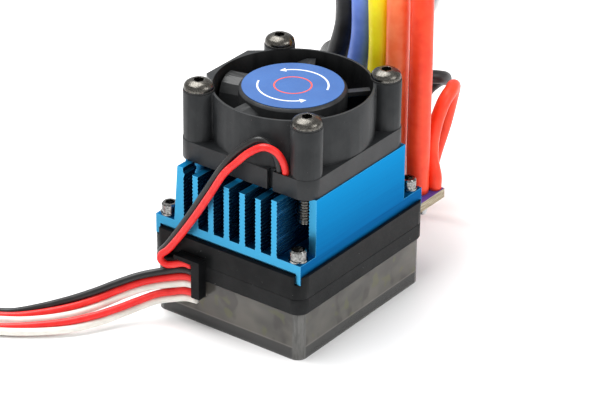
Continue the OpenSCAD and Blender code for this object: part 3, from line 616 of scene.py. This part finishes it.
def soften(obj, width):
    """Rounds an object's sharp edges. The CAD's faces come apart, so they are welded first."""
    weld = obj.modifiers.new("weld", "WELD")
    weld.merge_threshold = WELD
    bevel = obj.modifiers.new("bevel", "BEVEL")
    bevel.width = width
    bevel.segments = 2
    bevel.limit_method = "ANGLE"
    bevel.angle_limit = SHARP
    bevel.harden_normals = True


# ---------- cords ----------
# The routes are those of the CAD model, in mm. The five power routes start at the foot of their
# lead, and they and the capacitor's routes are turned with the row of leads.

LEAD_X = [-9, -3.3, 1.3, 5.9, 10.3]
LEAD_Y = 19.5
BOARD_TOP = 13
POWER_D = 3.6
CAP_D = 2.2
FAN_LEAD_D = 1.1
STRAND = 1.15
STRAND_OVERLAP = 1.02  # the strands of a flat lead are this much thicker, so no gap shows

BLACK_ROUTE = [
    (0, 0, 0), (0, 0, 4), (0.5, 0, 9), (1.7, 0, 14), (3, 0, 18.5), (4.1, 0, 23), (4.4, 0.8, 26.7),
    (4.1, 3.1, 29), (3.8, 6.2, 29.8), (3.9, 9.3, 29), (4.2, 11.6, 26.7), (4.4, 12.4, 22),
    (4.3, 12.4, 15), (3.8, 12.2, 8), (3.9, 12.5, 1), (5.1, 13.9, -6.6), (7.7, 16.3, -10.1),
    (10.8, 19.6, -11.1), (13.6, 23.7, -11.1), (15.2, 28.9, -11.1), (15.6, 35.9, -11.1),
    (15.6, 43.9, -11.1), (15.6, 51.9, -11.1), (15.6, 59.9, -11.1), (15.8, 67.9, -11.1),
    (16.7, 75.9, -11.1), (18.6, 82.2, -11), (20.4, 86.5, -10.6), (20.4, 91, -10.6),
]
BLUE_ROUTE = [
    (0, 0, 0), (0, 0, 4), (0.2, 0, 9), (0.8, 0, 14), (1.5, 0, 18.5), (2.1, 0, 23),
    (2.1, 1.3, 28.1), (1.8, 4.8, 31.7), (1.6, 9.7, 33), (1.5, 14.5, 31.7), (1.4, 18.1, 28.1),
    (1.3, 19.4, 23), (-0.1, 19.5, 14), (-1.8, 19.5, 6.5), (-3.1, 19.6, 0.5), (-3.8, 20.7, -4.4),
    (-4.2, 23.2, -8), (-4.3, 27.3, -9.9), (-4.3, 31, -9.9),
]
YELLOW_ROUTE = [
    (0, 0, 0), (0, 0, 5), (0.2, 0, 10), (0.6, 0, 15), (1, 0, 19), (1.1, 0, 23), (0.9, 1.6, 29.7),
    (0.7, 6.1, 34.2), (0.5, 12.2, 35.8), (0.4, 18.3, 34.2), (0.5, 22.8, 29.7), (0.6, 24.4, 23),
    (-0.7, 24.4, 14), (-1.9, 24.4, 8.5), (-3.1, 24.9, 3.8), (-4.1, 26.6, -0.4), (-4.7, 29.4, -3.4),
    (-4.9, 32.4, -4.6), (-4.9, 35.9, -4.6),
]
ORANGE_ROUTE = [
    (0, 0, 0), (0, 0, 8), (0, 0, 16), (0, 0, 23), (0, 2, 30.6), (0, 7.3, 36), (0, 14.7, 38),
    (0, 22, 36), (0, 27.4, 30.6), (0, 29.4, 23), (-0.9, 29.4, 14), (-2, 29.4, 6.5),
    (-3.2, 29.6, 0.5), (-4.5, 30.7, -4.5), (-5.4, 33.2, -8), (-5.6, 37.2, -9.9),
    (-5.6, 40.9, -9.9),
]
RED_ROUTE = [
    (0, 0, 0), (0, 0, 8), (0, 0, 16), (0, 0, 23), (0, 2.3, 31.7), (0, 8.6, 38.1), (0, 17.3, 40.4),
    (0, 25.9, 38.1), (0, 32.3, 31.7), (0, 34.6, 23), (-1.2, 34.6, 14), (-2.6, 34.7, 5.5),
    (-3.5, 35.6, -1.6), (-3.9, 38, -7), (-4, 42, -10.4), (-4, 47.5, -11.1), (-4, 56, -11.1),
    (-4, 65, -11.1), (-4, 74, -11.1), (-3.8, 83, -11.1), (-2.9, 90.6, -11), (-1.6, 97, -10.6),
    (-1.6, 102.4, -10.6),
]
CAP_RED_ROUTE = [
    (22.6, 10.6, 13), (22.6, 10.6, 15), (22.1, 11.7, 17.5), (22.1, 12.6, 20), (22.7, 13.3, 23.3),
    (23.8, 14.7, 26), (25, 17, 26.9), (25.6, 19.8, 26.3), (25.4, 22, 23.2), (24.6, 22.6, 18.6),
    (23.4, 23, 13.6), (22.5, 23.9, 9.4), (21.4, 25.1, 6.2), (19.8, 25.6, 4.6), (17.7, 25.7, 4),
    (15.5, 25.7, 4),
]
CAP_BLACK_ROUTE = [
    (15.6, 16.2, 13), (15.6, 16.2, 15), (15.6, 16.8, 18), (15.6, 18.6, 21.4), (16, 21, 24),
    (18, 22.2, 26.2), (20.6, 22.4, 26.6), (23.4, 23.6, 26), (24.5, 26, 24.6), (23.6, 28.6, 23),
    (21.8, 29.7, 20.6), (20.9, 29.9, 17), (20.9, 29.6, 12.5), (21.1, 29, 9), (20.8, 28.5, 6.4),
    (19.4, 28.3, 4.6), (17.5, 28.3, 4), (15.5, 28.3, 4),
]
FAN_RED_ROUTE = [
    (8.62, -12.6, 26.9), (8.62, -12.6, 28.6), (8.5, -13.2, 31), (7.7, -14, 32.8),
    (6.2, -14.8, 33.4), (4.1, -15.5, 32.2), (2.1, -16.1, 30.1), (0.2, -16.5, 27.9),
    (-2.3, -16.9, 23.6), (-5, -17.2, 19.1), (-8, -17.6, 14.5), (-9.7, -17.85, 12.2),
    (-10.9, -18, 11), (-11, -18, 10.2), (-10.1, -17.85, 9.6), (-8.8, -17.65, 9.9),
    (-7.6, -17.4, 10.4), (-6.6, -17.35, 10.65), (-5.5, -17.35, 10.65),
]
FAN_BLACK_ROUTE = [
    (7.5, -12.6, 26.9), (7.5, -12.6, 28.6), (7.1, -12.9, 31.2), (6.2, -13.5, 33.1),
    (4.8, -14.1, 33.9), (2.9, -14.8, 32.7), (0.9, -15.4, 30.6), (-0.8, -15.9, 28.2),
    (-3.4, -16.3, 23.8), (-6.1, -16.5, 19.3), (-9, -16.7, 14.7), (-10.6, -16.85, 12.3),
    (-11.8, -16.85, 10.8), (-12, -16.85, 10), (-11.2, -16.8, 9.45), (-9.8, -16.6, 9.8),
    (-8.4, -16.3, 10.3), (-7.2, -16.2, 10.6), (-5.5, -16.2, 10.6),
]
# The fourth number is how far a flat lead has rolled over from standing on its edge, in degrees.
RECEIVER_ROUTE = [
    (-4.9, -16.85, 8.25, 0), (-7, -17, 8.15, 0), (-9.3, -17.25, 7.35, 0), (-11.4, -18.2, 6.75, 0),
    (-13.5, -19.9, 6.15, -3), (-15.5, -22.1, 5.3, -8), (-17.8, -24.7, 4.1, -20),
    (-20.6, -27.4, 2.9, -38), (-24.2, -30.2, 1.8, -62), (-28.6, -32.8, 0.85, -86),
    (-34, -35.2, 0.62, -90), (-41, -37.6, 0.62, -90), (-48, -39.8, 0.62, -90),
    (-54.5, -41.4, 0.62, -90), (-60.5, -41.4, 0.62, -90), (-66, -39.2, 0.62, -90),
    (-70.4, -34.4, 0.62, -90), (-72.4, -27.6, 0.62, -90), (-73.4, -20, 0.62, -90),
    (-75.2, -12.4, 0.62, -90), (-78.5, -5.4, 0.62, -90),
]
SWITCH_ROUTE = [
    (-4.9, -16.85, 5.25, 0), (-7, -17, 5.05, 0), (-9.3, -17.25, 4.2, 0), (-11.3, -18.4, 3.65, 0),
    (-13, -20.7, 3, -2), (-14.6, -23.6, 2.4, -6), (-16.5, -27, 1.9, -18), (-19, -30.4, 1.5, -38),
    (-22.6, -33.6, 1.15, -62), (-27, -36.6, 0.85, -86), (-32.5, -39.5, 0.62, -90),
    (-39, -42.2, 0.62, -90), (-46, -44.8, 0.62, -90), (-52.5, -46.8, 0.62, -90),
    (-57.6, -47.9, 0.62, -90), (-61, -48, 0.62, -90), (-64, -48, 0.62, -90),
]


def turned(side, depth, height):
    """A point given along, behind and above the row of power leads."""
    c, s = math.cos(LEAD_TURN), math.sin(LEAD_TURN)
    return Vector((c * side - s * depth, s * side + c * depth, height))


def from_foot(i, route):
    """A power lead's route in the CAD's frame, given from its foot on the board."""
    c, s = math.cos(LEAD_TURN), math.sin(LEAD_TURN)
    foot = (c * LEAD_X[i] + s * LEAD_Y, c * LEAD_Y - s * LEAD_X[i])
    return [turned(foot[0] + p[0], foot[1] + p[1], BOARD_TOP + p[2]) for p in route]


def in_metres(points):
    return [Vector(p[:3]) * MM for p in points]


def round_cord(
    name, points, diameter, key, node, side,
):
    """A round lead along points, in place of node."""
    path = spline(in_metres(points), diameter * MM / 4)
    vertices, faces = tube_data(path, carried(path, side), diameter / 2 * MM)
    obj = joined(name, [(vertices, faces, 0)], key)
    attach(obj, ROOT)
    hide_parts(node)


def flat_cord(name, route, keys, node):
    """A flat lead of one strand for each key, rolled along its route, in place of node."""
    path = spline(in_metres(route), 0.5 * MM)
    spots = in_metres(route)
    axes = []
    for p, t in zip(path, tangents(path)):
        near = sorted(range(len(spots)), key=lambda i: (spots[i] - p).length)[:2]
        gaps = [(spots[i] - p).length for i in near]
        share = gaps[1] / max(sum(gaps), 1e-9)
        roll = math.radians(route[near[0]][3] * share + route[near[1]][3] * (1 - share))
        up = (Vector((0, 0, 1)) - t * t.z).normalized()
        side = up * math.cos(roll) + up.cross(t) * math.sin(roll)
        axes.append((side, t.cross(side)))
    count = len(keys)
    parts = []
    for k in range(count):
        shift = (k - (count - 1) / 2) * STRAND * MM
        radius = STRAND / 2 * STRAND_OVERLAP * MM
        vertices, faces = tube_data(path, axes, radius, 16, (-shift, 0))
        parts.append((vertices, faces, k))
    obj = joined(name, parts, *keys)
    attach(obj, ROOT)
    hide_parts(node)


ACROSS = turned(1, 0, 0)
DEEP = turned(0, 1, 0)
NORTH = Vector((0, 1, 0))
round_cord("lead_battery_negative", from_foot(0, BLACK_ROUTE), POWER_D, "power_black",
           "battery_lead_neg", ACROSS)
round_cord("lead_motor_a", from_foot(1, BLUE_ROUTE), POWER_D, "power_blue",
           "motor_lead_a", ACROSS)
round_cord("lead_motor_b", from_foot(2, YELLOW_ROUTE), POWER_D, "power_yellow",
           "motor_lead_b", ACROSS)
round_cord("lead_motor_c", from_foot(3, ORANGE_ROUTE), POWER_D, "power_orange",
           "motor_lead_c", ACROSS)
round_cord("lead_battery_positive", from_foot(4, RED_ROUTE), POWER_D, "power_red",
           "battery_lead_pos", ACROSS)
round_cord("lead_capacitor_positive", [turned(*p) for p in CAP_RED_ROUTE], CAP_D, "power_red",
           "capacitor_lead_pos", DEEP)
round_cord("lead_capacitor_negative", [turned(*p) for p in CAP_BLACK_ROUTE], CAP_D, "power_black",
           "capacitor_lead_neg", ACROSS)
round_cord("lead_fan_positive", FAN_RED_ROUTE, FAN_LEAD_D, "lead_red", "fan_lead_red",
           NORTH)
round_cord("lead_fan_negative", FAN_BLACK_ROUTE, FAN_LEAD_D, "lead_black", "fan_lead_black",
           NORTH)
flat_cord("lead_receiver", RECEIVER_ROUTE, ("lead_black", "lead_red", "lead_white"),
          "receiver_lead")
flat_cord("lead_switch", SWITCH_ROUTE, ("lead_red", "lead_white"), "switch_lead")

# ---------- CAD nodes: finish ----------

FINISH = {
    "lower_case": "smoked", "collar": "collar", "upper_frame": "frame", "cable_hood": "frame",
    "heatsink": "anodised", "thermal_pad": "pad", "heatsink_screws": "black_steel",
    "fan_housing": "fan", "fan_screws": "gunmetal", "fan_screw_washers": "washer",
    "fan_rotor": "rotor", "magnet_ring": "magnet", "rotor_shaft": "steel", "shaft_clip": "nylon",
    "sleeve_bearing": "bronze", "stator_core": "lamination", "stator_coils": "copper",
    "fan_board": "fan_board", "power_board": "board", "control_board": "board", "mosfets": "chip",
    "board_headers": "gold", "microcontroller": "chip", "driver_chips": "chip",
    "inductor": "ferrite", "board_capacitors": "tantalum", "solder_joints": "tin",
    "bullet_sockets": "gold", "socket_sleeves": "shrink", "battery_plug": "plug_red",
    "battery_plug_blades": "gold", "battery_plug_sleeves": "shrink", "capacitor_can": "can",
    "capacitor_bung": "rubber", "capacitor_sleeves": "shrink", "receiver_plug": "plug_black",
    "receiver_contacts": "gold", "switch_housing": "plug_black", "switch_slider": "slider",
    "switch_contacts": "tin",
}
for node, key in FINISH.items():
    materials = N[node].data.materials
    if not len(materials):
        materials.append(M[key])
    for i in range(len(materials)):
        materials[i] = M[key]

# The bevel of the sharp edges, in mm.
ROUNDING = {
    "lower_case": 0.15, "collar": 0.25, "upper_frame": 0.3, "cable_hood": 0.2, "heatsink": 0.06,
    "fan_housing": 0.15, "fan_screws": 0.06, "fan_screw_washers": 0.08, "fan_rotor": 0.1,
    "power_board": 0.08, "battery_plug": 0.5, "battery_plug_blades": 0.12, "receiver_plug": 0.25,
    "switch_housing": 0.25, "switch_slider": 0.15, "capacitor_can": 0.2, "bullet_sockets": 0.12,
    "socket_sleeves": 0.15,
}
for node, width in ROUNDING.items():
    soften(N[node], width * MM)

# ---------- fan label ----------

PRINT_T = 0.02  # the print stands this far above the film, and goes as deep into it


def label_blue():
    """Printed film on the hub: even blue with a faint print grain."""
    n = Nodes("hub_label")
    grain = n.noise(0.2 * MM, detail=2)
    clouds = n.noise(6 * MM, detail=1)
    tone = n.mix(n.span(clouds, 0.3, 0.7), (0.016, 0.085, 0.295), (0.024, 0.108, 0.345))
    n.set(
        Base_Color=n.mix(n.span(grain, 0.4, 0.7, 0, 0.12), tone, (0.07, 0.22, 0.5)),
        Roughness=n.span(grain, 0.3, 0.7, 0.3, 0.42),
        Normal=n.bump(grain, 0.002 * MM),
        Coat_Weight=0.2,
        Coat_Roughness=0.2,
    )
    return n.mat


M["label"] = label_blue()
N["fan_label"].data.materials[0] = M["label"]


def flat_ring(name, inner, outer, start, sweep, material, body, head=0.0):
    """A thin printed arc round the hub, in mm and degrees, with an arrow head of the given size."""
    low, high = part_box("fan_label")
    centre = Vector(((low[0] + high[0]) / 2, (low[1] + high[1]) / 2, high[2]))
    steps = max(6, round(sweep / 4))
    rim = []
    for k in range(steps + 1):
        a = math.radians(start + sweep * k / steps)
        rim.append((math.cos(a), math.sin(a)))
    outline = [(inner * c, inner * s) for c, s in rim]
    back = [(outer * c, outer * s) for c, s in reversed(rim)]
    if head:
        a = math.radians(start + sweep)
        mid = (inner + outer) / 2
        along = (-math.sin(a), math.cos(a))
        reach = head * 1.6
        outline += [
            ((mid - head) * math.cos(a), (mid - head) * math.sin(a)),
            (mid * math.cos(a) + reach * along[0], mid * math.sin(a) + reach * along[1]),
            ((mid + head) * math.cos(a), (mid + head) * math.sin(a)),
        ]
    outline += back
    count = len(outline)
    vertices = []
    for z in (-PRINT_T, PRINT_T):
        vertices += [centre + Vector((px * MM, py * MM, z * MM)) for px, py in outline]
    faces = [tuple(range(count - 1, -1, -1)), tuple(range(count, 2 * count))]
    for i in range(count):
        j = (i + 1) % count
        faces.append((i, j, count + j, count + i))
    mesh = mesh_from(name, vertices, faces)
    clean(mesh)
    obj = new_object(name, mesh, material, smooth=False)
    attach(obj, body)


PRINTS = {
    "print_white": ((0.70, 0.72, 0.76), (0.80, 0.82, 0.85)),
    "print_red": ((0.60, 0.06, 0.05), (0.70, 0.10, 0.07)),
}
for key, (dark, light) in PRINTS.items():
    M[key] = plain(key, dark, light, 0.6, 0.1, 0.002, (0.4, 0.5))
flat_ring("label_arrow_a", 5.2, 5.48, 20, 118, "print_white", ROTOR, head=0.6)
flat_ring("label_arrow_b", 5.2, 5.48, 200, 118, "print_white", ROTOR, head=0.6)
flat_ring("label_ring", 2.7, 2.95, 0, 359, "print_red", ROTOR)

# ---------- threads ----------

HEAD_R = 2.3
SHANK_R = 1.2
THREAD_PITCH = 0.45
THREAD_RIDGE = 0.13
THREAD_STEPS = 20  # points in one turn


def thread(name, x, y, low, high, radius, pitch, depth):
    """A helical ridge on a screw's shank, in mm."""
    steps = round((high - low) / pitch * THREAD_STEPS)
    path = []
    for k in range(steps + 1):
        a = 2 * math.pi * k / THREAD_STEPS
        z = low + (high - low) * k / steps
        path.append(Vector((x + radius * math.cos(a), y + radius * math.sin(a), z)) * MM)
    vertices, faces = tube_data(path, carried(path, Vector((0, 0, 1))), depth * MM, 6)
    obj = joined(name, [(vertices, faces, 0)], "thread_steel")
    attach(obj, ROOT)


screw_low, screw_high = (Vector(c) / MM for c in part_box("fan_screws"))
sink_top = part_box("heatsink")[1][2] / MM
corners = [(x, y) for x in (screw_low.x + HEAD_R, screw_high.x - HEAD_R)
           for y in (screw_low.y + HEAD_R, screw_high.y - HEAD_R)]
for k, (x, y) in enumerate(corners):
    thread(
        f"fan_screw_thread_{k}", x, y, screw_low.z + 0.3, sink_top - 0.1,
        SHANK_R, THREAD_PITCH, THREAD_RIDGE,
    )

# ---------- floor, lights ----------

FLOOR = 3  # metres from the middle to each side
WORLD_STRENGTH = 0.68
LIGHTS_TOWARD = (0, 0, 0.02)  # the middle of the case

floor_corners = [(-FLOOR, -FLOOR, 0), (FLOOR, -FLOOR, 0), (FLOOR, FLOOR, 0), (-FLOOR, FLOOR, 0)]
floor_mesh = mesh_from("floor", floor_corners, [(0, 1, 2, 3)])
floor_nodes = Nodes("floor_paper")
floor_nodes.set(
    Base_Color=floor_nodes.mix(floor_nodes.noise(0.2), (0.90, 0.90, 0.90), (0.93, 0.93, 0.93)),
    Roughness=0.7,
    Specular_IOR_Level=0.2,
)
M["floor"] = floor_nodes.mat
new_object("floor", floor_mesh, "floor", smooth=False)

world = bpy.data.worlds.new("studio")
bpy.context.scene.world = world
world.use_nodes = True
background = world.node_tree.nodes["Background"]
background.inputs["Color"].default_value = (1, 1, 1, 1)
background.inputs["Strength"].default_value = WORLD_STRENGTH


def area_light(name, at, toward, size, power):
    """A rectangular light of the given size and power, in metres and watts."""
    data = bpy.data.lights.new(name, "AREA")
    data.shape = "RECTANGLE"
    data.size, data.size_y = size
    data.energy = power
    obj = bpy.data.objects.new(name, data)
    bpy.context.scene.collection.objects.link(obj)
    obj.location = at
    obj.rotation_mode = "QUATERNION"
    obj.rotation_quaternion = (Vector(toward) - Vector(at)).to_track_quat("-Z", "Y")


area_light("key", (-0.30, 0.05, 0.80), LIGHTS_TOWARD, (0.7, 0.7), 11)
area_light("fill", (0.75, 0.15, 0.55), LIGHTS_TOWARD, (0.5, 0.4), 3)

bpy.context.scene.view_settings.view_transform = "Standard"
